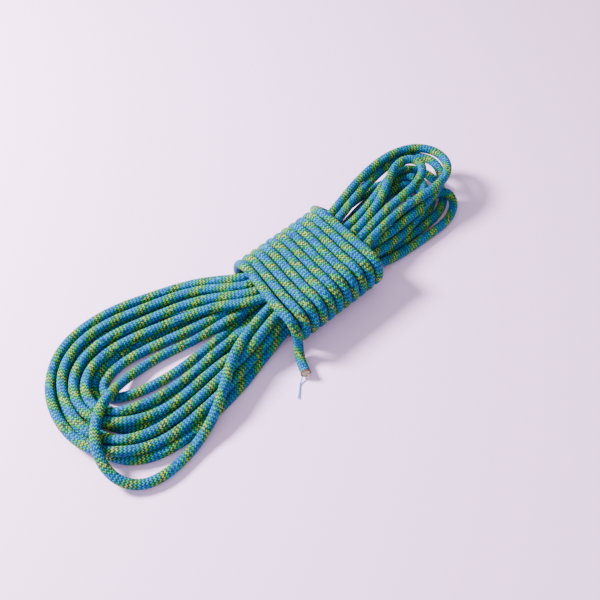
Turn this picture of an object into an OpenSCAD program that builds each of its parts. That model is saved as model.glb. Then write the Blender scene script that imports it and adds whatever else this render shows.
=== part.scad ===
// A kernmantle climbing rope, folded into a long flat hank and wrapped round the middle with its own
// end. +Z is up from the surface that it lies on and +X runs along the hank. The origin is on that
// surface, under the middle of the whole shape. Sizes are in millimetres.

/* [Rope] */
// Diameter over the braided sheath
rope_d = 10; // [9:0.5:10]
// Thickness of the braided sheath
sheath_t = 0.8; // [0.6:0.1:0.8]

/* [Core] */
// Diameter of one twisted core strand
strand_d = 1.9; // [1.5:0.1:1.9]
// How far the core stands out of the cut sheath
core_out = 1.2; // [0.8:0.1:1.4]

/* [Hank] */
// Length of the hank over its loops
hank_l = 528; // [520:2:540]
// Height of the loops at the wide end
near_h = 32; // [28:1:36]
// Height of the loops at the narrow end
far_h = 40; // [36:1:44]
// Width of the bundle inside the wrap
bundle_w = 98; // [90:1:100]
// Height of the bundle inside the wrap
bundle_h = 27; // [24:1:28]

/* [Wrap] */
// Number of turns round the bundle
turns = 11; // [10:1:11]
// Spacing of the turns
turn_pitch = 11.5; // [11:0.1:11.8]

/* [Cut end] */
// Length of the straight stretch behind the cut
straight_l = 13; // [11:0.5:14]
// Width of the flared, melted rim
rim_d = 11.4; // [10.8:0.1:12]

/* [Hidden] */
$fn = 64;

// The wrap's near face and its middle across the hank
wrap_x = -34;
wrap_y = -10;
wrap_l = turns * turn_pitch;

// Half the hank's length: the loops reach this far both ways
reach = hank_l / 2;

// Outline of the wide loops, from the wrap round the far side and back (points on a smooth curve)
near_points = [[-20, 46], [-84, 90], [-140, 106], [-200, 96], [-246, 62], [-reach, 8], [-252, -50],
               [-222, -84], [-180, -84], [-120, -58], [-20, -46]];
// Outline of the narrow loops
far_points = [[80, -48], [150, -54], [205, -50], [250, -30], [reach, 4], [252, 42], [215, 58],
              [150, 54], [80, 42]];
smooth_steps = 5;

// The tail's route from the wrap's near face down to the surface
tail_points = [[wrap_x, -61.5, 13], [-37, -62.2, 12.8], [-39.6, -65, 11.6], [-41.2, -69.4, 9.2],
               [-42.2, -74, 7], [-43.2, -78.4, 6.2]];
tail_sides = 12;
// The straight stretch goes on from the tail's last point, level, at this heading
end_heading = 248;
end_at = tail_points[len(tail_points) - 1];
end_dir = [cos(end_heading), sin(end_heading), 0];

// The loose yarn runs from the rim down to the surface and lies along it
yarn_d = 1.2;
yarn_bends = [[-58.5, -93.4, 1], [-62.5, -97, 0.7], [-67, -101, 0.7], [-71.5, -105.2, 0.7]];
yarn_sides = 8;

bore_d = rope_d - 2 * sheath_t;
inner_ring = strand_d / 2 / sin(60) + 0.05;
outer_ring = bore_d / 2 - strand_d / 2 - 0.05;
inner_count = 3;
outer_count = 9;
tracer_d = 0.6;
rim_inner_d = bore_d;
rim_l = 1.6;

// Colours
sheath_blue = [0.16, 0.47, 0.72];
core_beige = [0.85, 0.79, 0.66];
melt_brown = [0.27, 0.17, 0.09];
yarn_blue = [0.42, 0.66, 0.85];
tracer_red = [0.75, 0.12, 0.10];

function unit(v) = v / norm(v);

// A point on the smooth curve through four neighbours
function blend_point(a, b, c, d, t) =
    0.5 * ((2 * b) + (c - a) * t + (2 * a - 5 * b + 4 * c - d) * t * t
           + (3 * b - a - 3 * c + d) * t * t * t);

// An open smooth curve through a list of points
function smooth_curve(p, steps) =
    let (n = len(p))
    concat([for (i = [0 : n - 2], s = [0 : steps - 1])
                blend_point(p[max(i - 1, 0)], p[i], p[i + 1], p[min(i + 2, n - 1)], s / steps)],
           [p[n - 1]]);

// A solid round tube through a list of points, with its end faces square to the two end directions
module swept_tube(p, d, sides, first_dir, last_dir) {
    n = len(p);
    function along(i) = i == 0 ? first_dir : i == n - 1 ? last_dir : unit(p[i + 1] - p[i - 1]);
    function across(i) = unit(cross(along(i), [0, 0, 1]));
    function ring(i) = let (s = across(i), u = cross(s, along(i)))
        [for (k = [0 : sides - 1])
            p[i] + d / 2 * (cos(360 * (k + 0.5) / sides) * s + sin(360 * (k + 0.5) / sides) * u)];
    points = [for (i = [0 : n - 1]) each ring(i)];
    walls = [for (i = [0 : n - 2], k = [0 : sides - 1])
        let (a = i * sides + k, b = i * sides + (k + 1) % sides)
        each [[a, b, b + sides], [a, b + sides, a + sides]]];
    first_cap = [[for (k = [sides - 1 : -1 : 0]) k]];
    last_cap = [[for (k = [0 : sides - 1]) (n - 1) * sides + k]];
    polyhedron(points = points, faces = concat(walls, first_cap, last_cap), convexity = 4);
}

// A flat outline with half-round ends, w wide and h high
module stadium(w, h) {
    square([w - h, h], center = true);
    for (side = [-1, 1]) translate([side * (w - h) / 2, 0]) circle(d = h);
}

// A stadium extruded along the hank, from x0 to x1, with its lowest line at z0
module along_hank(x0, x1, w, h, z0) {
    translate([x0, wrap_y, z0 + h / 2])
        rotate([90, 0, 90]) linear_extrude(height = x1 - x0) stadium(w, h);
}

module hank() {
    wrap_end = wrap_x + wrap_l;
    color(sheath_blue) {
        along_hank(wrap_x - 1, wrap_end + 1, bundle_w, bundle_h, rope_d);
        difference() {
            union() {
                linear_extrude(height = near_h) polygon(smooth_curve(near_points, smooth_steps));
                linear_extrude(height = far_h) polygon(smooth_curve(far_points, smooth_steps));
            }
            translate([wrap_x, -150, -1]) cube([wrap_l, 300, 60]);
        }
    }
}

module wrap() {
    color(sheath_blue) difference() {
        along_hank(wrap_x, wrap_x + wrap_l, bundle_w + 2 * rope_d, bundle_h + 2 * rope_d, 0);
        along_hank(wrap_x - 1, wrap_x + wrap_l + 1, bundle_w, bundle_h, rope_d);
    }
}

module tail() {
    color(sheath_blue) swept_tube(tail_points, rope_d, tail_sides, [-1, 0, 0], end_dir);
}

// Puts its children on the straight end of the rope, whose axis becomes +Z, starting at the tail
module on_end() {
    translate(end_at) rotate([0, 90, end_heading]) children();
}

module sheath_end() {
    color(sheath_blue) on_end() difference() {
        cylinder(d = rope_d, h = straight_l);
        translate([0, 0, -1]) cylinder(d = bore_d, h = straight_l + 2);
    }
}

// One strand of the core, the first three inside and the other nine round them
module core_strand(number) {
    inside = number <= inner_count;
    ring_r = inside ? inner_ring : outer_ring;
    turn = inside ? 360 / inner_count * number : 360 / outer_count * (number + 0.5);
    ragged = 0.3 * sin(137 * number);
    color(core_beige) on_end() rotate([0, 0, turn]) translate([ring_r, 0, 0])
        cylinder(d = strand_d, h = straight_l + core_out + ragged);
}

module tracer_yarn() {
    color(tracer_red) on_end() rotate([0, 0, 360 / outer_count * 4])
        translate([bore_d / 2 - tracer_d / 2 - 0.05, 0, 0]) cylinder(d = tracer_d, h = straight_l + 0.6);
}

module melted_rim() {
    wall = (rim_d - rim_inner_d) / 2;
    color(melt_brown) on_end() translate([0, 0, straight_l]) rotate_extrude() {
        translate([rim_inner_d / 2, 0]) square([wall, rim_l - wall / 2]);
        translate([rim_inner_d / 2 + wall / 2, rim_l - wall / 2]) circle(d = wall);
    }
}

module loose_yarn() {
    start = end_at + (straight_l + rim_l) * end_dir + 4.9 * [sin(end_heading), -cos(end_heading), 0]
        - [0, 0, 1.6];
    route = concat([start, start + 1.2 * end_dir - [0, 0, 1.2]], yarn_bends);
    color(yarn_blue) swept_tube(route, yarn_d, yarn_sides, end_dir, unit([-1, -1, 0]));
}

hank();
wrap();
tail();
sheath_end();
core_strand(1);  // core_strand_01
core_strand(2);  // core_strand_02
core_strand(3);  // core_strand_03
core_strand(4);  // core_strand_04
core_strand(5);  // core_strand_05
core_strand(6);  // core_strand_06
core_strand(7);  // core_strand_07
core_strand(8);  // core_strand_08
core_strand(9);  // core_strand_09
core_strand(10);  // core_strand_10
core_strand(11);  // core_strand_11
core_strand(12);  // core_strand_12
tracer_yarn();
melted_rim();
loose_yarn();
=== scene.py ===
"""A kernmantle climbing rope in a flat hank, wrapped round its middle with its own end.

The rope is one route: listed loops and turns, then a relaxation that lays the strands on each other.
other. Routes are in millimetres until the mesh is made; the frame and the meshes are in metres.
"""
import math

import bpy
import numpy as np
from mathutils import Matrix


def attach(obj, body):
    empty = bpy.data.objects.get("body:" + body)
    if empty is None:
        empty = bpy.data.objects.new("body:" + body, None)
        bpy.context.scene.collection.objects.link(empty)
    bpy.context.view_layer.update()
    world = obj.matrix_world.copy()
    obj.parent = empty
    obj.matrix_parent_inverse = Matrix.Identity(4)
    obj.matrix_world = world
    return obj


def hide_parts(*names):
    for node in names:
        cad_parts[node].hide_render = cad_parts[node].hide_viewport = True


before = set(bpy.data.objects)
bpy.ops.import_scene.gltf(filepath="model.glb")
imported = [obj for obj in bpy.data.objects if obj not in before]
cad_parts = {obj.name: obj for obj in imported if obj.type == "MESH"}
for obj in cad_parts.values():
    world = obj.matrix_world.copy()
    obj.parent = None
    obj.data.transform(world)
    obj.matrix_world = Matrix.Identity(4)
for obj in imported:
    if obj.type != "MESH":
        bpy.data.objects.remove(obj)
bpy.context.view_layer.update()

MM = 0.001
ROPE_D = 10.0
ROPE_R = ROPE_D / 2
BORE_R = 4.2
STEP = 5.0            # spacing of the relaxed points
FINE = 4              # curve steps for each relaxed point
RING_GAP = 2.2        # spacing of the tube's rings
SIDES = 20
SEED = 11

# how the route settles, round by round
ROUNDS = 420
EASING = 0.75         # after this share of the rounds the plan pulls less and contact counts more
PULL, LAST_PULL = 0.055, 0.004
SAG = 0.03            # drop of each round
STIFFNESS = ((1, 0.35), (3, 0.12))    # stride and amount of each smoothing
EVEN = 0.125          # share of a wrong spacing by which each of its two points moves
PUSH = 1.3            # how far a pair in contact is pushed, as a share of its overlap
PAIR_ROUNDS = 8       # rounds between two searches for close pairs
PAIR_REACH = ROPE_D * 1.6
PAIR_SKIP = 4         # neighbours along the rope that aren't a pair

# the bundle inside the wrap: three nested rows of places for a strand
WRAP_Y = -10.0
MOUTH_NEAR, MOUTH_FAR = -26.0, 82.0
SLOT_GAP = 11.4
ROW_Z = (15.2, 23.5, 31.8)
ROW_MID = (3.0, 3.5, 3.0)
TURNS = 11
TURN_W, TURN_H, TURN_Z = 53.0, 18.3, 23.5
# where the turns lie along the hank: middle and half spread at the +y side and at the -y side
HIGH_MID, HIGH_SPREAD = 33.5, 54.5
LOW_MID, LOW_SPREAD = 27.5, 58.5
SLANT_FROM, SLANT_W = 40, 93          # the turns cross from one side to the other over this width
# in turns: where the wrap starts, what its last turn lacks, and the spacing of its points
FIRST_TURN, TURNS_LEFT, TURN_STEP = 0.31, 0.255, 0.04
START_X = (45, 20, 0)                 # the hidden end of the rope, inside the wrap
JOINT_PASSAGES = (3, 5, 8, 10)        # passages through the wrap where one tube ends and the next starts

# near loops in travel order: slot in, slot out, points
NEAR = [
    ((1, 6), (1, 3), [(-60, 38, 12), (-113, 57, 5), (-172, 66, 5), (-212, 52, 5), (-224, 14, 5),
                      (-216, -16, 5), (-186, -36, 5), (-130, -38, 6), (-72, -26, 14)]),
    ((1, 5), (0, 4), [(-60, 14, 20), (-89, 20, 16), (-140, 35, 11), (-184, 43, 8), (-207, 39, 5),
                      (-210, 24, 5), (-195, 12, 5), (-163, 2, 5), (-132, -4, 5), (-97, 0, 5),
                      (-60, -1, 9)]),
    ((0, 5), (0, 3), [(-66, 26, 10), (-118, 44, 5), (-176, 50, 5), (-204, 40, 5), (-213, 8, 5),
                      (-203, -12, 5), (-175, -24, 5), (-125, -25, 5), (-70, -16, 9)]),
    ((1, 4), (2, 2), [(-54, 2, 17), (-83, 11, 11), (-119, 18, 7), (-151, 25, 6), (-180, 23, 10),
                      (-209, 10, 21), (-235, -10, 27), (-249, -33, 25), (-251, -53, 15),
                      (-243, -71, 7), (-228, -81, 5), (-211, -83, 5), (-187, -78, 5), (-163, -71, 7),
                      (-141, -61, 13), (-117, -51, 20), (-90, -38, 25), (-66, -31, 30),
                      (-40, -23, 33)]),
    ((2, 3), (0, 2), [(-50, 14, 28), (-81, 30, 22), (-132, 47, 16), (-186, 55, 14), (-214, 44, 13),
                      (-225, 24, 12), (-219, 2, 13), (-198, -12, 13), (-170, -18, 13),
                      (-115, -20, 10), (-65, -18, 11)]),
    ((1, 7), (0, 1), [(-58, 46, 14), (-108, 70, 6), (-168, 82, 5), (-214, 68, 5), (-234, 32, 5),
                      (-235, -2, 5), (-224, -30, 5), (-196, -47, 5), (-150, -52, 5), (-100, -46, 7),
                      (-65, -38, 10)]),
    ((2, 4), (1, 2), [(-46, 22, 31), (-73, 39, 25), (-122, 59, 19), (-180, 70, 15), (-215, 60, 15),
                      (-229, 34, 15), (-230, 8, 15), (-219, -14, 14), (-189, -29, 13),
                      (-130, -32, 12), (-70, -28, 16)]),
    ((2, 5), (2, 1), [(-44, 34, 32), (-65, 50, 26), (-113, 72, 19), (-168, 86, 15), (-213, 77, 14),
                      (-236, 46, 14), (-241, 12, 15), (-236, -16, 14), (-220, -36, 14),
                      (-192, -46, 14), (-140, -47, 16), (-100, -42, 20), (-66, -36, 26)]),
    ((2, 6), (1, 1), [(-42, 45, 30), (-60, 60, 24), (-105, 83, 17), (-157, 98, 14), (-208, 91, 13),
                      (-239, 61, 13), (-251, 26, 13), (-252, -6, 13), (-242, -32, 13),
                      (-212, -53, 13), (-165, -58, 12), (-120, -52, 12), (-75, -45, 15)]),
    # the last loop runs the other way round: in on the low side and out on the high side
    ((0, 0), (0, 6), [(-75, -49, 9), (-125, -59, 5), (-168, -66, 5), (-210, -60, 5), (-237, -40, 5),
                      (-246, -8, 5), (-245, 28, 5), (-230, 62, 5), (-202, 86, 5), (-157, 93, 5),
                      (-105, 78, 6), (-60, 56, 10)]),
]
# far loops, each from one near loop to the next: slot in, slot out, points
FAR = [
    ((1, 3), (1, 5), [(125, -14, 24), (170, -18, 23), (208, -16, 22), (227, -1, 21), (222, 17, 19),
                      (192, 25, 17), (145, 18, 19), (112, 10, 22)]),
    ((0, 4), (0, 5), [(120, 0, 8), (165, -6, 5), (196, -8, 5), (213, 5, 5), (205, 23, 5),
                      (180, 30, 5), (142, 27, 7), (110, 18, 12)]),
    ((0, 3), (1, 4), [(118, -14, 9), (165, -18, 5), (203, -20, 5), (224, -5, 6), (219, 14, 9),
                      (195, 22, 13), (160, 10, 15), (114, -2, 20)]),
    ((2, 2), (2, 3), [(113, -18, 36), (140, -13, 39), (180, -10, 41), (214, -6, 42), (231, 8, 42),
                      (226, 25, 42), (205, 28, 42), (182, 14, 42), (160, 2, 41), (134, -3, 39),
                      (108, -7, 35)]),
    ((0, 2), (1, 7), [(118, -27, 8), (165, -28, 5), (206, -27, 5), (228, -12, 5), (232, 11, 7),
                      (213, 29, 10), (170, 35, 14), (122, 33, 19)]),
    ((0, 1), (2, 4), [(114, -37, 8), (160, -39, 5), (202, -38, 5), (223, -34, 5), (241, -21, 6),
                      (248, -2, 11), (240, 18, 17), (212, 27, 22), (168, 17, 27), (114, 5, 31)]),
    ((1, 2), (2, 5), [(119, -31, 26), (151, -31, 28), (187, -29, 30), (219, -24, 30), (241, -14, 30),
                      (253, 8, 30), (244, 31, 30), (213, 40, 31), (187, 38, 31), (152, 32, 33),
                      (112, 20, 34)]),
    ((2, 1), (2, 6), [(110, -27, 34), (162, -21, 36), (206, -25, 37), (240, -22, 37), (257, -6, 38),
                      (260, 14, 38), (246, 35, 38), (213, 44, 38), (177, 42, 37), (132, 36, 34),
                      (106, 30, 33)]),
    ((1, 1), (0, 0), [(112, -38, 20), (155, -37, 18), (193, -30, 17), (213, -19, 18), (228, -18, 18),
                      (239, -30, 16), (233.5, -44, 11), (217, -51, 8), (195, -51.5, 5),
                      (160, -51, 5), (112, -48, 9)]),
]
# out of the bundle at the far end, round, and up into the first turn
EXIT = [(100, 24, 12), (115, 28, 8), (123, 38, 6), (120, 50, 8), (108, 55, 13), (96, 50, 22)]
# down from the last turn to the cut end, in metres; it starts 6 mm beside the CAD tail and ends on it
TAIL_M = [(-0.0352, -0.0662, 0.0172), (-0.0376, -0.0696, 0.0122), (-0.0397, -0.0732, 0.0088),
          (-0.0416, -0.0766, 0.0068), (-0.0432, -0.0800, 0.0062), (-0.0455, -0.0848, 0.0062),
          (-0.0481, -0.0905, 0.0062)]


# ---------------------------------------------------------------- route
def slot(row, col):
    """Side and height of one place in the bundle."""
    return WRAP_Y + (col - ROW_MID[row]) * SLOT_GAP, ROW_Z[row]


def wrap_point(turn):
    """Point of the wrap. Whole turns pass under the middle, and the rope then climbs the +y side."""
    flat = TURN_W - TURN_H
    arc = math.pi * TURN_H
    s = (turn % 1.0) * (4 * flat + 2 * arc)
    if s < flat:
        y, z = s, -TURN_H
    elif s < flat + arc:
        a = (s - flat) / TURN_H
        y, z = flat + TURN_H * math.sin(a), -TURN_H * math.cos(a)
    elif s < 3 * flat + arc:
        y, z = flat - (s - flat - arc), TURN_H
    elif s < 3 * flat + 2 * arc:
        a = (s - 3 * flat - arc) / TURN_H
        y, z = -flat - TURN_H * math.sin(a), TURN_H * math.cos(a)
    else:
        y, z = -flat + (s - 3 * flat - 2 * arc), -TURN_H
    u = (turn - TURNS / 2) / (TURNS / 2 - 0.5)
    high = HIGH_MID - HIGH_SPREAD * u
    low = LOW_MID - LOW_SPREAD * (0.95 * u + 0.05 * u ** 3)
    w = min(1.0, max(0.0, (y + SLANT_FROM) / SLANT_W))
    w = w * w * (3 - 2 * w)
    return low + (high - low) * w, WRAP_Y + y, TURN_Z + z


def smooth_through(points, per):
    """Centripetal Catmull-Rom curve."""
    p = np.asarray(points, float)
    q = np.vstack([2 * p[0] - p[1], p, 2 * p[-1] - p[-2]])
    out = []
    for i in range(1, len(q) - 2):
        p0, p1, p2, p3 = q[i - 1:i + 3]
        t1 = np.linalg.norm(p1 - p0) ** 0.5
        t2 = t1 + np.linalg.norm(p2 - p1) ** 0.5
        t3 = t2 + np.linalg.norm(p3 - p2) ** 0.5
        t = np.linspace(t1, t2, per, endpoint=False)[:, None]
        a1 = (t1 - t) / t1 * p0 + t / t1 * p1
        a2 = (t2 - t) / (t2 - t1) * p1 + (t - t1) / (t2 - t1) * p2
        a3 = (t3 - t) / (t3 - t2) * p2 + (t - t2) / (t3 - t2) * p3
        b1 = (t2 - t) / t2 * a1 + t / t2 * a2
        b2 = (t3 - t) / (t3 - t1) * a2 + (t - t1) / (t3 - t1) * a3
        out.append((t2 - t) / (t2 - t1) * b1 + (t - t1) / (t2 - t1) * b2)
    out.append(q[-2][None])
    return np.vstack(out)


def distance_along(p):
    """Each point's distance from the first one, along the line."""
    return np.r_[0, np.cumsum(np.linalg.norm(np.diff(p, axis=0), axis=1))]


def spaced(p, gap):
    """The curve at even distances, and where each point lies in the old numbering."""
    s = distance_along(p)
    t = np.linspace(0, s[-1], int(round(s[-1] / gap)) + 1)
    points = np.column_stack([np.interp(t, s, p[:, k]) for k in range(3)])
    return points, np.interp(t, s, np.arange(len(p)))


def through(near_slot, far_slot, outward):
    """A held stretch through the wrap, from one mouth to the other."""
    a = np.array([MOUTH_NEAR, *slot(*near_slot)])
    b = np.array([MOUTH_FAR, *slot(*far_slot)])
    if not outward:
        a, b = b, a
    return [tuple(a + (b - a) * f) for f in (0, 0.25, 0.5, 0.75, 1)]


def planned_route():
    """The route's points with a held flag and the number of the passage through the wrap."""
    rows = []

    def add(point, held=0, passage=0):
        rows.append((*point, held, passage))

    y, z = slot(*NEAR[0][0])
    for x in (*START_X, MOUTH_NEAR):
        add((x, y, z), 1)
    passage = 0
    for k, (_, out, points) in enumerate(NEAR):
        for point in points:
            add(point)
        last = k == len(NEAR) - 1
        passage += 1
        for point in through(out, out if last else FAR[k][0], True):
            add(point, 1, passage)
        if not last:
            for point in FAR[k][2]:
                add(point)
            for point in through(NEAR[k + 1][0], FAR[k][1], False):
                add(point, 1)
    for point in EXIT:
        add(point)
    for turn in np.arange(FIRST_TURN, TURNS - TURNS_LEFT, TURN_STEP):
        add(wrap_point(turn), 1)
    for point in TAIL_M:
        add(np.array(point) / MM, 1)
    return np.array(rows, float)


def spread_route():
    """The planned route at even steps, which points are held, and each point's passage."""
    rows = planned_route()
    per = 24
    curve = smooth_through(rows[:, :3], per)
    points, at = spaced(curve, STEP)
    before = np.minimum(at.astype(int) // per, len(rows) - 2)
    held = (rows[before, 3] > 0) & (rows[before + 1, 3] > 0)
    return points, held, rows[before, 4].astype(int)


def close_pairs(p, reach, skip):
    """Pairs of points nearer than reach that are more than skip steps apart along the rope."""
    g = p.astype(np.float32)
    square = (g ** 2).sum(1)
    first, second = [], []
    block = 400
    for start in range(0, len(g), block):
        part = g[start:start + block]
        d = square[start:start + block, None] + square[None] - 2 * part @ g.T
        i, j = np.nonzero(d < reach * reach)
        keep = j - i - start > skip
        first.append(i[keep] + start)
        second.append(j[keep])
    return np.concatenate(first), np.concatenate(second)


def smooth_bends(p, free, stride, amount):
    """Moves free points towards the curve with the least bending."""
    s = p.copy()
    g = stride
    s[2 * g:-2 * g] = (-p[:-4 * g] + 4 * p[g:-3 * g] + 4 * p[3 * g:-g] - p[4 * g:]) / 6
    p[free] += amount * (s[free] - p[free])


def keep_spacing(p, weight):
    """Moves neighbours along the rope back towards their even distance."""
    d = p[1:] - p[:-1]
    long = np.linalg.norm(d, axis=1)
    move = d * ((long - STEP) / np.maximum(long, 1e-6) * EVEN)[:, None]
    p[:-1] += move * weight[:-1, None]
    p[1:] -= move * weight[1:, None]


def push_apart(p, weight, free, i_all, j_all):
    """Separates strands that lie in each other, and lifts what is under the surface."""
    n = len(p)
    d = p[j_all] - p[i_all]
    long = np.linalg.norm(d, axis=1)
    near = long < ROPE_D
    i, j, d, long = i_all[near], j_all[near], d[near], np.maximum(long[near], 1e-3)
    wi, wj = weight[i], weight[j]
    total = np.maximum(wi + wj, 1e-6)
    push = d * ((ROPE_D - long) / long)[:, None]
    count = np.bincount(i, wi, n) + np.bincount(j, wj, n)
    for k in range(3):
        move = np.bincount(j, push[:, k] * wj / total, n) - np.bincount(i, push[:, k] * wi / total, n)
        p[:, k] += move / np.maximum(count, 1) * PUSH
    low = (p[:, 2] < ROPE_R) & free
    p[low, 2] = ROPE_R


def relaxed(plan, held):
    """Settles the route: gravity, stiffness, even spacing and contact between the strands."""
    p = plan.copy()
    free = ~held
    weight = free.astype(float)
    for n in range(ROUNDS):
        if n % PAIR_ROUNDS == 0:
            i, j = close_pairs(p, PAIR_REACH, PAIR_SKIP)
        ending = n > ROUNDS * EASING
        p[free] += (LAST_PULL if ending else PULL) * (plan[free] - p[free])
        p[free, 2] -= SAG
        for _ in range(1 if ending else 2):
            for stride, amount in STIFFNESS:
                smooth_bends(p, free, stride, amount)
        for _ in range(2):
            keep_spacing(p, weight)
        for _ in range(5 if ending else 3):
            push_apart(p, weight, free, i, j)
    return p


# ---------------------------------------------------------------- tubes
def rolling_frames(p):
    """Tangents and two cross directions that don't twist along the curve."""
    t = np.gradient(p, axis=0)
    t /= np.linalg.norm(t, axis=1)[:, None]
    a = np.zeros_like(p)
    first = np.cross(t[0], (0, 0, 1.0))
    a[0] = first / np.linalg.norm(first)
    for k in range(1, len(p)):
        v = a[k - 1] - t[k] * (a[k - 1] @ t[k])
        a[k] = v / np.linalg.norm(v)
    return t, a, np.cross(t, a)


def add_mesh(name, verts, faces, material, uvs):
    """A smooth piece of the rope, in metres, that rides on the one body."""
    mesh = bpy.data.meshes.new(name)
    mesh.from_pydata([tuple(v) for v in verts], [], faces)
    layer = mesh.uv_layers.new(name="along")
    layer.data.foreach_set("uv", np.asarray(uvs, np.float32).ravel())
    mesh.polygons.foreach_set("use_smooth", [True] * len(mesh.polygons))
    mesh.materials.append(material)
    mesh.update()
    o = bpy.data.objects.new(name, mesh)
    bpy.context.scene.collection.objects.link(o)
    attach(o, "root")
    return o


def tube_parts(centres, side_a, side_b, radii, sides, along, close=True):
    """Vertices, faces and UVs (turn, metres along) of a round tube."""
    n = len(centres)
    turn = np.arange(sides) / sides
    c, s = np.cos(2 * np.pi * turn), np.sin(2 * np.pi * turn)
    verts = (centres[:, None] + radii[:, None, None] * (
        c[None, :, None] * side_a[:, None] + s[None, :, None] * side_b[:, None])).reshape(-1, 3)
    faces, uvs = [], []
    for i in range(n - 1):
        for k in range(sides):
            k2 = (k + 1) % sides
            faces.append((i * sides + k, i * sides + k2, (i + 1) * sides + k2, (i + 1) * sides + k))
            u0, u1 = k / sides, (k + 1) / sides
            uvs += [(u0, along[i]), (u1, along[i]), (u1, along[i + 1]), (u0, along[i + 1])]
    if close:
        faces.append(tuple(range(sides))[::-1])
        faces.append(tuple((n - 1) * sides + k for k in range(sides)))
        uvs += [(0.5, along[0])] * sides + [(0.5, along[-1])] * sides
    return verts, faces, uvs


def joined(parts):
    """Several (vertices, faces, UVs) as one."""
    verts, faces, uvs = [], [], []
    for v, f, u in parts:
        shift = len(verts)
        verts.extend(map(tuple, v))
        faces.extend(tuple(k + shift for k in face) for face in f)
        uvs.extend(u)
    return verts, faces, uvs


# ---------------------------------------------------------------- materials
class Graph:
    """Short names for building a node material."""

    def __init__(self, name):
        self.material = bpy.data.materials.new(name)
        self.material.use_nodes = True
        self.tree = self.material.node_tree
        self.shader = next(n for n in self.tree.nodes if n.type == "BSDF_PRINCIPLED")

    def node(self, kind, **settings):
        n = self.tree.nodes.new(kind)
        for key, value in settings.items():
            setattr(n, key, value)
        return n

    def put(self, socket, value):
        if isinstance(value, bpy.types.NodeSocket):
            self.tree.links.new(value, socket)
        else:
            socket.default_value = value

    def calc(self, operation, *values):
        n = self.node("ShaderNodeMath", operation=operation)
        for socket, value in zip(n.inputs, values):
            self.put(socket, value)
        return n.outputs[0]

    def pick(self, amount, a, b):
        """a where amount is 0, b where it is 1, for numbers."""
        n = self.node("ShaderNodeMix", data_type="FLOAT")
        for socket, value in zip((n.inputs[0], n.inputs[2], n.inputs[3]), (amount, a, b)):
            self.put(socket, value)
        return n.outputs[0]

    def blend(self, amount, a, b, way="MIX"):
        n = self.node("ShaderNodeMix", data_type="RGBA", blend_type=way)
        for socket, value in zip((n.inputs[0], n.inputs[6], n.inputs[7]), (amount, a, b)):
            self.put(socket, value)
        return n.outputs[2]

    def random(self, x, y, salt):
        """A number from 0 to 1 for each pair of whole or half numbers."""
        v = self.node("ShaderNodeCombineXYZ")
        for socket, value in zip(v.inputs, (x, y, salt)):
            self.put(socket, value)
        n = self.node("ShaderNodeTexWhiteNoise", noise_dimensions="3D")
        self.put(n.inputs[0], v.outputs[0])
        return n.outputs[0]

    def steps(self, value, *stops):
        """Colours by constant steps: (position, colour) pairs."""
        n = self.node("ShaderNodeValToRGB")
        ramp = n.color_ramp
        ramp.interpolation = "CONSTANT"
        while len(ramp.elements) < len(stops):
            ramp.elements.new(1.0)
        for element, (position, colour) in zip(ramp.elements, stops):
            element.position, element.color = position, colour
        self.put(n.inputs[0], value)
        return n.outputs[0]

    def noise(self, scale, detail=2.0, vector=None):
        n = self.node("ShaderNodeTexNoise")
        n.inputs["Scale"].default_value = scale
        n.inputs["Detail"].default_value = detail
        if vector is not None:
            self.put(n.inputs["Vector"], vector)
        return n.outputs[0]

    def bump(self, height, distance, strength):
        n = self.node("ShaderNodeBump")
        n.inputs["Strength"].default_value = strength
        n.inputs["Distance"].default_value = distance
        self.put(n.inputs["Height"], height)
        return n.outputs[0]


def colour(r, g, b):
    """A scene colour from 0 to 255 display values."""
    return tuple((v / 12.92 if v <= 0.04045 else ((v + 0.055) / 1.055) ** 2.4)
                 for v in (r / 255, g / 255, b / 255)) + (1.0,)


# every second carrier is light and the one between is dark, in each zone
BLUE_LIGHT = [(0.0, colour(8, 152, 246)), (0.5, colour(28, 188, 255)), (0.84, colour(18, 212, 208))]
BLUE_DARK = [(0.0, colour(0, 84, 160)), (0.45, colour(0, 106, 176)), (0.78, colour(0, 104, 108))]
EDGE_LIGHT = [(0.0, colour(72, 230, 100)), (0.4, colour(40, 216, 152)), (0.7, colour(16, 180, 204))]
EDGE_DARK = [(0.0, colour(0, 108, 84)), (0.5, colour(0, 92, 126)), (0.8, colour(8, 114, 60))]
CENTRE_LIGHT = [(0.0, colour(202, 236, 78)), (0.44, colour(140, 232, 108)), (0.72, colour(196, 238, 156)),
                (0.88, colour(80, 220, 112))]
CENTRE_DARK = [(0.0, colour(70, 86, 76)), (0.3, colour(6, 96, 86)), (0.66, colour(48, 104, 50))]
PAINTED_GROOVE_SHADE, PAINTED_CREST_LIGHT = 0.015, 0.66   # painted shade: share of the tint left in a pick's grooves, and how much more light is painted on its crest
ODD_ONES = 0.05       # share of picks that break the light and dark order
RAGGED = 0.12         # how unevenly the patches end
CARRIERS = 22.0       # carriers each way round the sheath, an even number
CELL_M = 0.0018       # length of one crossing along the rope
PATCH_M = 0.0290      # a speckled patch comes this often
PATCH_SHARE = 0.58
PATCH_CORE = 0.38     # part of the patch with yellow in it


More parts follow.
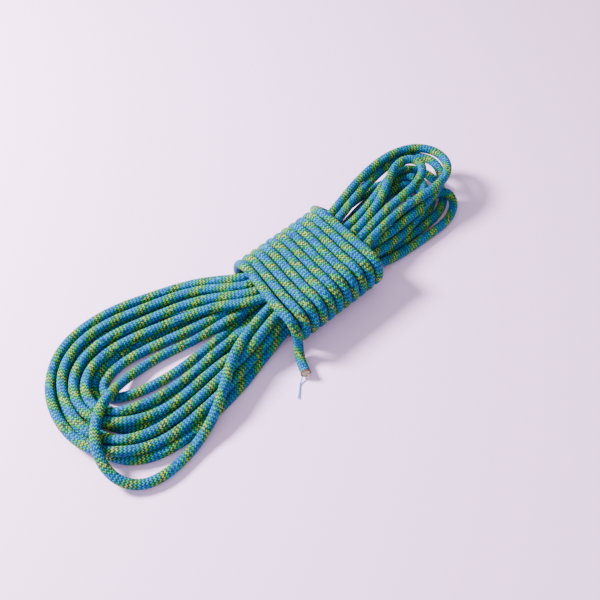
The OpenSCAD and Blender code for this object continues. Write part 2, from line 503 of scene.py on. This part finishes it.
def weave(g):
    """Which pick of the braid is on top at each place, and where on that pick the place is."""
    uv = g.node("ShaderNodeUVMap", uv_map="along")
    split = g.node("ShaderNodeSeparateXYZ")
    g.put(split.inputs[0], uv.outputs[0])
    around = g.calc("MULTIPLY", split.outputs[0], CARRIERS)
    along = g.calc("DIVIDE", split.outputs[1], CELL_M)
    p, q = g.calc("ADD", around, along), g.calc("SUBTRACT", around, along)
    ip, iq = g.calc("FLOOR", p), g.calc("FLOOR", q)
    fp, fq = g.calc("FRACT", p), g.calc("FRACT", q)
    place = g.calc("FLOORED_MODULO", g.calc("ADD", ip, iq), 4.0)
    right = g.calc("GREATER_THAN", place, 1.5)
    run = g.calc("SUBTRACT", place, g.calc("MULTIPLY", right, 2.0))
    across = g.pick(right, fp, fq)
    ahead = g.calc("MULTIPLY", g.calc("ADD", run, g.pick(right, fq, fp)), 0.5)
    # the pick's own middle, so that the whole pick has one colour
    mid_p = g.pick(right, g.calc("ADD", ip, 0.5), g.calc("ADD", g.calc("SUBTRACT", ip, run), 1.0))
    mid_q = g.pick(right, g.calc("ADD", g.calc("SUBTRACT", iq, run), 1.0), g.calc("ADD", iq, 0.5))
    # picks of the two leans lie side by side, so the lean shifts the order and the light ones alternate
    order = g.calc("ADD", g.pick(right, ip, iq), right)
    return mid_p, mid_q, order, across, ahead


def pick_tint(g, mid_p, mid_q, order):
    """One colour for each pick, by its zone along the rope and by the light and dark order."""
    mid_turn = g.calc("DIVIDE", g.calc("ADD", mid_p, mid_q), 2 * CARRIERS)
    mid_along = g.calc("MULTIPLY", g.calc("SUBTRACT", mid_p, mid_q), CELL_M / 2)
    # the patches run round the rope on a slant, one period for each turn
    patch = g.calc("FRACT", g.calc("ADD", g.calc("DIVIDE", mid_along, PATCH_M), mid_turn))
    off = g.calc("MULTIPLY", g.calc("ABSOLUTE", g.calc("SUBTRACT", patch, 0.5)), 2.0)
    uneven = g.calc("SUBTRACT", g.random(mid_p, mid_q, 2.0), 0.5)
    ragged = g.calc("ADD", off, g.calc("MULTIPLY", uneven, RAGGED))
    chance = g.random(mid_p, mid_q, 1.0)
    odd = g.calc("LESS_THAN", g.random(mid_p, mid_q, 3.0), ODD_ONES)
    light = g.calc("FLOORED_MODULO", g.calc("ADD", order, odd), 2.0)
    blue, edge, centre = (g.blend(light, g.steps(chance, *dark), g.steps(chance, *pale)) for dark, pale in (
        (BLUE_DARK, BLUE_LIGHT), (EDGE_DARK, EDGE_LIGHT), (CENTRE_DARK, CENTRE_LIGHT)))
    tint = g.blend(g.calc("LESS_THAN", ragged, PATCH_SHARE), blue, edge)
    return g.blend(g.calc("LESS_THAN", ragged, PATCH_SHARE * PATCH_CORE), tint, centre)


def sheath_material():
    """A two over, two under braid with one colour for each pick of a carrier, and painted shade in its
    grooves.
    """
    g = Graph("braided_sheath")
    mid_p, mid_q, order, across, ahead = weave(g)
    tint = pick_tint(g, mid_p, mid_q, order)
    # shape of the pick: round across, sinking under at both ends
    round_across = g.calc("SINE", g.calc("MULTIPLY", across, math.pi))
    round_ahead = g.calc("SINE", g.calc("MULTIPLY", ahead, math.pi))
    dip = g.calc("ADD", 0.25, g.calc("MULTIPLY", round_ahead, 0.75))
    height = g.calc("MULTIPLY", g.calc("POWER", round_across, 0.6), dip)
    yarns = g.calc("SINE", g.calc("MULTIPLY", across, 6 * math.pi))
    relief = g.calc("ADD", height, g.calc("MULTIPLY", yarns, 0.08))
    wear = g.noise(60.0, 3.0)
    # painted shade: the tint is darkened in the grooves and where a pick dips under the next, lighter on its
    # crest, and varied at random by the wear noise
    painted_shade_and_wear = g.calc("MULTIPLY", g.calc("ADD", PAINTED_GROOVE_SHADE, g.calc("MULTIPLY", height, PAINTED_CREST_LIGHT)),
                   g.calc("ADD", 0.8, g.calc("MULTIPLY", wear, 0.4)))
    shade_and_wear_grey = g.node("ShaderNodeCombineColor")
    for socket in shade_and_wear_grey.inputs:
        g.put(socket, painted_shade_and_wear)
    g.put(g.shader.inputs["Base Color"], g.blend(1.0, tint, shade_and_wear_grey.outputs[0], "MULTIPLY"))
    g.put(g.shader.inputs["Roughness"], g.calc("ADD", 0.5, g.calc("MULTIPLY", wear, 0.24)))
    g.put(g.shader.inputs["Normal"], g.bump(relief, 0.0005, 0.85))
    g.put(g.shader.inputs["Sheen Weight"], 0.02)
    g.put(g.shader.inputs["Sheen Roughness"], 0.4)
    g.put(g.shader.inputs["Specular IOR Level"], 0.14)
    return g.material


def yarn_material(name, light, dark, twist_scale):
    """Fibre bundle: fine lines along the yarn with a little colour variation."""
    g = Graph(name)
    uv = g.node("ShaderNodeUVMap", uv_map="along")
    stretch = g.node("ShaderNodeMapping")
    stretch.inputs["Scale"].default_value = (9.0, twist_scale, 1.0)
    g.put(stretch.inputs["Vector"], uv.outputs[0])
    fibres = g.noise(6.0, 4.0, stretch.outputs[0])
    tone = g.noise(420.0, 2.0)
    pale = g.calc("ADD", g.calc("MULTIPLY", fibres, 0.8), g.calc("MULTIPLY", tone, 0.3))
    g.put(g.shader.inputs["Base Color"], g.blend(pale, dark, light))
    g.put(g.shader.inputs["Roughness"], g.calc("ADD", 0.62, g.calc("MULTIPLY", tone, 0.2)))
    g.put(g.shader.inputs["Normal"], g.bump(fibres, 0.00015, 0.6))
    g.put(g.shader.inputs["Sheen Weight"], 0.3)
    return g.material


def melted_material():
    """Sheath that has melted and scorched at the cut."""
    g = Graph("melted_sheath")
    lumps = g.noise(700.0, 4.0)
    scorch = g.noise(260.0, 3.0)
    g.put(g.shader.inputs["Base Color"], g.blend(scorch, colour(40, 24, 12), colour(124, 82, 40)))
    g.put(g.shader.inputs["Roughness"], g.calc("ADD", 0.25, g.calc("MULTIPLY", lumps, 0.4)))
    g.put(g.shader.inputs["Normal"], g.bump(lumps, 0.0003, 0.7))
    return g.material


def floor_material():
    """A pale, slightly uneven surface."""
    g = Graph("pale_surface")
    soft = g.noise(1.4, 2.0)
    grain = g.noise(900.0, 2.0)
    g.put(g.shader.inputs["Base Color"], g.blend(soft, colour(244, 200, 253), colour(248, 208, 255)))
    g.put(g.shader.inputs["Roughness"], g.calc("ADD", 0.5, g.calc("MULTIPLY", grain, 0.2)))
    return g.material


# ---------------------------------------------------------------- rope and its cut end
def rope_pieces(sheath):
    """The rope as five tubes end to end. Their joints lie inside the wrap."""
    plan, held, passage = spread_route()
    route = relaxed(plan, held)
    centres, at = spaced(smooth_through(route, FINE), RING_GAP)
    tangent, side_a, side_b = rolling_frames(centres)
    s = distance_along(centres)
    # slight thick and thin places, as a handled rope has
    rng = np.random.default_rng(SEED)
    bumps = sum(np.sin(s / wave * 2 * np.pi + rng.uniform(0, 6)) for wave in (61.0, 37.0, 143.0)) / 3
    radii = ROPE_R * (1 + 0.008 * bumps)
    passages = passage[np.minimum((at / FINE).astype(int), len(passage) - 1)]
    joints = [int(np.median(np.nonzero(passages == number)[0])) for number in JOINT_PASSAGES]
    cuts = [0, *joints, len(centres) - 1]
    names = ["rope_start", "rope_middle", "rope_upper", "rope_loops", "rope_wrap"]
    pieces = []
    for k, name in enumerate(names):
        a, b = cuts[k], cuts[k + 1]
        last = k == len(names) - 1
        part = slice(a, b + 1)
        verts, faces, uvs = tube_parts(centres[part] * MM, side_a[part], side_b[part], radii[part] * MM,
                                       SIDES, s[part] * MM, close=k == 0)
        if k == 0:
            del faces[-1]
            del uvs[-SIDES:]
        if last:
            verts, faces, uvs = joined([(verts, faces, uvs), sheath_lip(centres, tangent, side_a, side_b, s)])
        o = add_mesh(name, verts, faces, sheath, uvs)
        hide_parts(*(["wrap", "tail", "sheath_end"] if last else ["hank"]))
        pieces.append((o, centres[part] * MM))
    return pieces, centres[-1] * MM, tangent[-1], side_a[-1], side_b[-1]


def sheath_lip(centres, tangent, side_a, side_b, s):
    """The cut edge of the sheath and its inner wall, a few millimetres deep."""
    depth = 5.0
    rows = np.array([centres[-1], centres[-1], centres[-1] - tangent[-1] * depth])
    radii = np.array([ROPE_R, BORE_R, BORE_R])
    a, b = np.repeat(side_a[-1:], 3, 0), np.repeat(side_b[-1:], 3, 0)
    along = np.array([s[-1], s[-1] + 0.8, s[-1] + 0.8 + depth])
    return tube_parts(rows * MM, a, b, radii * MM, SIDES, along * MM, close=False)


def ply(start, direction, u, v, long, radius, orbit, turns, phase, sides=8, flare=0.0):
    """One twisted ply of a strand, with a domed, slightly opened tip."""
    rows = 22
    t = np.linspace(0, 1, rows)
    angle = phase + 2 * np.pi * turns * t
    out = orbit * (1 + flare * t ** 6)
    straight = start + direction * (long * t)[:, None]
    centres = straight + u * (out * np.cos(angle))[:, None] + v * (out * np.sin(angle))[:, None]
    tangent, a, b = rolling_frames(centres)
    radii = np.full(rows, radius)
    radii[-1] *= 0.55
    radii[-2] *= 0.9
    return tube_parts(centres, a, b, radii, sides, long * t)


def core_strands(end, direction, u, v, material):
    """Twelve twisted strands that stand a little out of the sheath, each cut a little differently."""
    made = []
    inner_count, outer_count = 3, 9
    strand_r, buried = 0.93, 6.0
    for number in range(1, 13):
        inside = number <= inner_count
        ring_r = 1.15 if inside else BORE_R - strand_r - 0.05
        turn = (number / inner_count if inside else (number + 0.5) / outer_count) * 2 * np.pi
        out = 1.2 + 0.3 * math.sin(math.radians(137 * number))
        middle = end + (u * math.cos(turn) + v * math.sin(turn)) * ring_r * MM
        start = middle - direction * buried * MM
        parts = [ply(start, direction, u, v, (buried + out) * MM, 0.49 * MM, 0.46 * MM, 1.6,
                     2.1 * k + number, flare=0.12) for k in range(3)]
        verts, faces, uvs = joined(parts)
        o = add_mesh(f"core_yarns_{number:02d}", verts, faces, material, uvs)
        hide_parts(f"core_strand_{number:02d}")
        made.append(o)
    return made


def tracer(end, direction, u, v, material):
    """The thin coloured yarn between the core and the sheath, of two plies."""
    angle = 2 * np.pi * 4 / 9
    middle = end + (u * math.cos(angle) + v * math.sin(angle)) * (BORE_R - 0.35) * MM
    start = middle - direction * 4 * MM
    parts = [ply(start, direction, u, v, 5.0 * MM, 0.17 * MM, 0.15 * MM, 3.0, np.pi * k, sides=6)
             for k in range(2)]
    verts, faces, uvs = joined(parts)
    o = add_mesh("tracer_plies", verts, faces, material, uvs)
    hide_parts("tracer_yarn")
    return o


def rim(end, direction, u, v, material):
    """The scorched edge: a lumpy ring that rolls over the sheath's cut."""
    rng = np.random.default_rng(SEED + 1)
    around, section = 72, 12
    phases = rng.uniform(0, 2 * np.pi, 6)
    verts, faces, uvs = [], [], []
    for i in range(around):
        a = 2 * np.pi * i / around
        lump = sum(math.sin(a * n + phases[k]) / (k + 2) for k, n in enumerate((2, 3, 5, 7, 11, 13)))
        outward = u * math.cos(a) + v * math.sin(a)
        centre = end + outward * (4.75 + 0.16 * lump) * MM + direction * (0.45 + 0.22 * lump) * MM
        for k in range(section):
            b = 2 * np.pi * k / section
            verts.append(centre + outward * (0.72 + 0.1 * lump) * MM * math.cos(b)
                         + direction * (0.8 + 0.16 * lump) * MM * math.sin(b))
    for i in range(around):
        j = (i + 1) % around
        for k in range(section):
            m = (k + 1) % section
            faces.append((i * section + k, i * section + m, j * section + m, j * section + k))
            uvs += [(i / around, k / section), (i / around, (k + 1) / section),
                    ((i + 1) / around, (k + 1) / section), ((i + 1) / around, k / section)]
    o = add_mesh("scorched_rim", verts, faces, material, uvs)
    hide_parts("melted_rim")
    return o


def twisted_plies(points, radius, orbit, turns, count):
    """A short yarn along a route: plies that turn round each other and open at the tip."""
    sides = 7
    curve, _ = spaced(smooth_through(points, 12), 0.35 * MM)
    _, a, b = rolling_frames(curve)
    t = np.linspace(0, 1, len(curve))
    parts = []
    for k in range(count):
        angle = 2 * np.pi * (turns * t + k / count)
        wide = orbit * (1 + 1.6 * t ** 8)
        line = curve + a * (wide * np.cos(angle))[:, None] + b * (wide * np.sin(angle))[:, None]
        line[:, 2] = np.maximum(line[:, 2], radius)
        _, ca, cb = rolling_frames(line)
        radii = np.full(len(line), radius) * (1 - 0.35 * t ** 6)
        parts.append(tube_parts(line, ca, cb, radii, sides, distance_along(line)))
    return joined(parts)


def loose_yarn(end, direction, material):
    """The pulled sheath yarn: from the rim's lower side down to the surface and along it."""
    side = np.cross((0, 0, 1.0), direction)
    start = end - side * 4.6 * MM * np.sign(side[0]) + direction * 0.6 * MM - np.array([0, 0, 1.4]) * MM
    points = [start, start + direction * 1.8 * MM - np.array([0, 0, 1.6]) * MM,
              (-0.0585, -0.0936, 0.0010), (-0.0625, -0.0970, 0.0008), (-0.0670, -0.1010, 0.0008),
              (-0.0712, -0.1048, 0.0008)]
    verts, faces, uvs = twisted_plies(points, 0.40 * MM, 0.36 * MM, 5.0, 3)
    o = add_mesh("sheath_yarn_plies", verts, faces, material, uvs)
    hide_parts("loose_yarn")
    return o


def stray_filaments(end, direction, u, v, material):
    """Fine fibres that hang out of the cut core."""
    rng = np.random.default_rng(SEED + 2)
    parts = []
    for k in range(9):
        turn = rng.uniform(0, 2 * np.pi)
        root = end + (u * math.cos(turn) + v * math.sin(turn)) * rng.uniform(0.4, 3.4) * MM
        reach = rng.uniform(4, 9) * MM
        lean = direction + u * rng.uniform(-0.5, 0.5) + np.array([0, 0, rng.uniform(-0.5, 0.1)])
        tip = root + lean / np.linalg.norm(lean) * reach
        fall = np.array([rng.uniform(-1.5, 1.5), rng.uniform(-2, 0), 0]) * MM
        middle = (root + tip) / 2 + np.array([0, 0, 0.8]) * MM
        tip = tip + fall
        tip[2] = max(0.3 * MM, tip[2] - 2.4 * MM)
        line, _ = spaced(smooth_through([root, middle, tip], 8), 0.5 * MM)
        _, a, b = rolling_frames(line)
        parts.append(tube_parts(line, a, b, np.full(len(line), 0.06 * MM), 5, distance_along(line)))
    verts, faces, uvs = joined(parts)
    o = add_mesh("core_filaments", verts, faces, material, uvs)
    return o


# ---------------------------------------------------------------- surroundings
def camera():
    """Above the wide loops, on the cut end's side, looking down across the hank."""
    data = bpy.data.cameras.new("camera")
    data.lens, data.sensor_width = 50.0, 36.0
    o = bpy.data.objects.new("camera", data)
    o.location = (-0.3595, -0.4105, 0.688)
    o.rotation_euler = (math.radians(38.2), 0, math.radians(-43.5))
    bpy.context.scene.collection.objects.link(o)
    bpy.context.scene.camera = o


def area_light(name, place, target, size, power, tint):
    """A round light at a place, turned towards a target."""
    data = bpy.data.lights.new(name, "AREA")
    data.shape, data.size, data.energy, data.color = "DISK", size, power, tint
    o = bpy.data.objects.new(name, data)
    o.location = place
    away = np.array(place) - np.array(target)
    flat = math.hypot(away[0], away[1])
    o.rotation_euler = (math.atan2(flat, away[2]), 0, math.atan2(away[0], -away[1]))
    bpy.context.scene.collection.objects.link(o)


def lights():
    """Soft light from all round, a window on the side away from the cut end, and a weak bounce."""
    world = bpy.data.worlds.new("room")
    world.use_nodes = True
    back = next(n for n in world.node_tree.nodes if n.type == "BACKGROUND")
    back.inputs[0].default_value = (0.90, 0.95, 0.97, 1.0)
    back.inputs[1].default_value = 0.82
    bpy.context.scene.world = world
    area_light("window", (-0.62, 1.05, 0.95), (0, 0, 0), 0.42, 126.0, (1.0, 0.94, 1.0))
    area_light("bounce", (-1.1, -0.5, 0.9), (0, 0, 0), 1.4, 8.0, (0.95, 0.95, 1.0))


def floor():
    """The level surface that the hank lies on."""
    half = 3.0
    corners = [(-half, -half, 0), (half, -half, 0), (half, half, 0), (-half, half, 0)]
    mesh = bpy.data.meshes.new("surface")
    mesh.from_pydata(corners, [], [(0, 1, 2, 3)])
    mesh.materials.append(floor_material())
    o = bpy.data.objects.new("surface", mesh)
    bpy.context.scene.collection.objects.link(o)


camera()
pieces, end, direction, side_a, side_b = rope_pieces(sheath_material())
core = yarn_material("core_strands", colour(232, 222, 196), colour(170, 150, 112), 900.0)
red = yarn_material("tracer_yarn", colour(196, 52, 44), colour(120, 22, 20), 900.0)
pale_blue = yarn_material("sheath_yarn", colour(84, 200, 240), colour(20, 134, 200), 700.0)
end_parts = core_strands(end, direction, side_a, side_b, core)
end_parts.append(tracer(end, direction, side_a, side_b, red))
end_parts.append(rim(end, direction, side_a, side_b, melted_material()))
end_parts.append(loose_yarn(end, direction, pale_blue))
end_parts.append(stray_filaments(end, direction, side_a, side_b, core))
floor()
lights()
